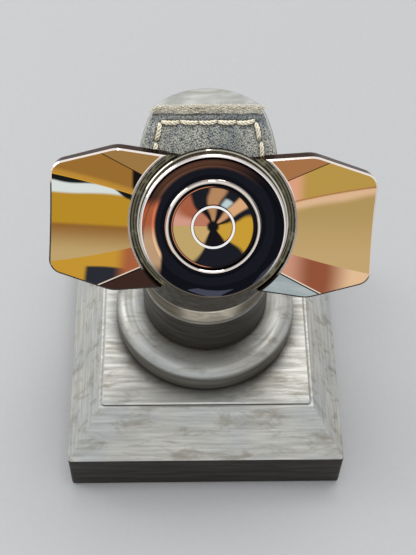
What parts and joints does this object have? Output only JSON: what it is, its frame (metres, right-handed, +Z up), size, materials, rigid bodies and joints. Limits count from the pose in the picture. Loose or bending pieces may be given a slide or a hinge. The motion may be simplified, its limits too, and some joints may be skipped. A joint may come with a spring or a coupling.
{
  "type": "hand spinner on display stand",
  "caption": "Bow-tie hand spinner with faceted mirror wings and round finger caps, resting on the denim-padded slanted face of a turned metal display stand.",
  "frame": {"origin": "centre of the stand's underside, on the surface it stands on", "axes": "+Z up along the column, -Y towards the front, the way the slanted face looks, +X to the right seen from the front"},
  "size_m": [0.0565, 0.056, 0.0801],
  "materials": {
    "stand_metal": "brushed, with dark grime left in the creases",
    "column_metal": "dark patina with worn light edges",
    "trim_bronze": "dull and worn",
    "felt": "dense felt",
    "fastener_steel": "satin",
    "magnet_nickel": "plated",
    "backing_leather": "split leather",
    "denim": "washed denim",
    "waxed_thread": "twisted, waxed",
    "wing_mirror": "mirror polished, gold bronze tint",
    "cap_mirror": "mirror polished, near black",
    "inlay_mirror": "mirror polished",
    "bearing_steel": "ground",
    "cage_brass": "stamped"
  },
  "bodies": {
    "stand": {"base_plinth": "stand_metal", "base_felt": "felt", "foot_flange": "stand_metal", "lower_column": "column_metal", "trim_ring": "trim_bronze", "slanted_head": "column_metal", "column_bolt": "fastener_steel", "bolt_washer": "fastener_steel", "holding_magnet": "magnet_nickel", "pad_backing": "backing_leather", "denim_pad": "denim", "pad_stitching": "waxed_thread"},
    "caps": {"front_cap": "cap_mirror", "rear_cap": "cap_mirror", "front_inlay": "inlay_mirror", "rear_inlay": "inlay_mirror", "front_spacer": "bearing_steel", "rear_spacer": "bearing_steel", "axle_sleeve": "bearing_steel", "cap_screws": "fastener_steel", "bearing_inner_race": "bearing_steel"},
    "wings": {"winged_body": "wing_mirror", "bearing_outer_race": "bearing_steel", "bearing_shields": "bearing_steel", "bearing_lock_ring": "bearing_steel"},
    "cage": {"bearing_balls": "bearing_steel", "ball_cage": "cage_brass"}
  },
  "joints": [
    {"name": "spinner_lift", "type": "slide", "parent": "stand", "child": "caps", "axis": [0, -0.7547, 0.6561], "range_m": [0, 0.03]},
    {"name": "wing_spin", "type": "hinge", "parent": "caps", "child": "wings", "pos_m": [0.0006, -0.00955, 0.06751], "axis": [0, -0.7547, 0.6561], "continuous": true},
    {"name": "cage_spin", "type": "hinge", "parent": "caps", "child": "cage", "pos_m": [0.0006, -0.00955, 0.06751], "axis": [0, -0.7547, 0.6561], "continuous": true}
  ],
  "couplings": [
    {"joint": "cage_spin", "follows": "wing_spin", "ratio": 0.6044}
  ]
}
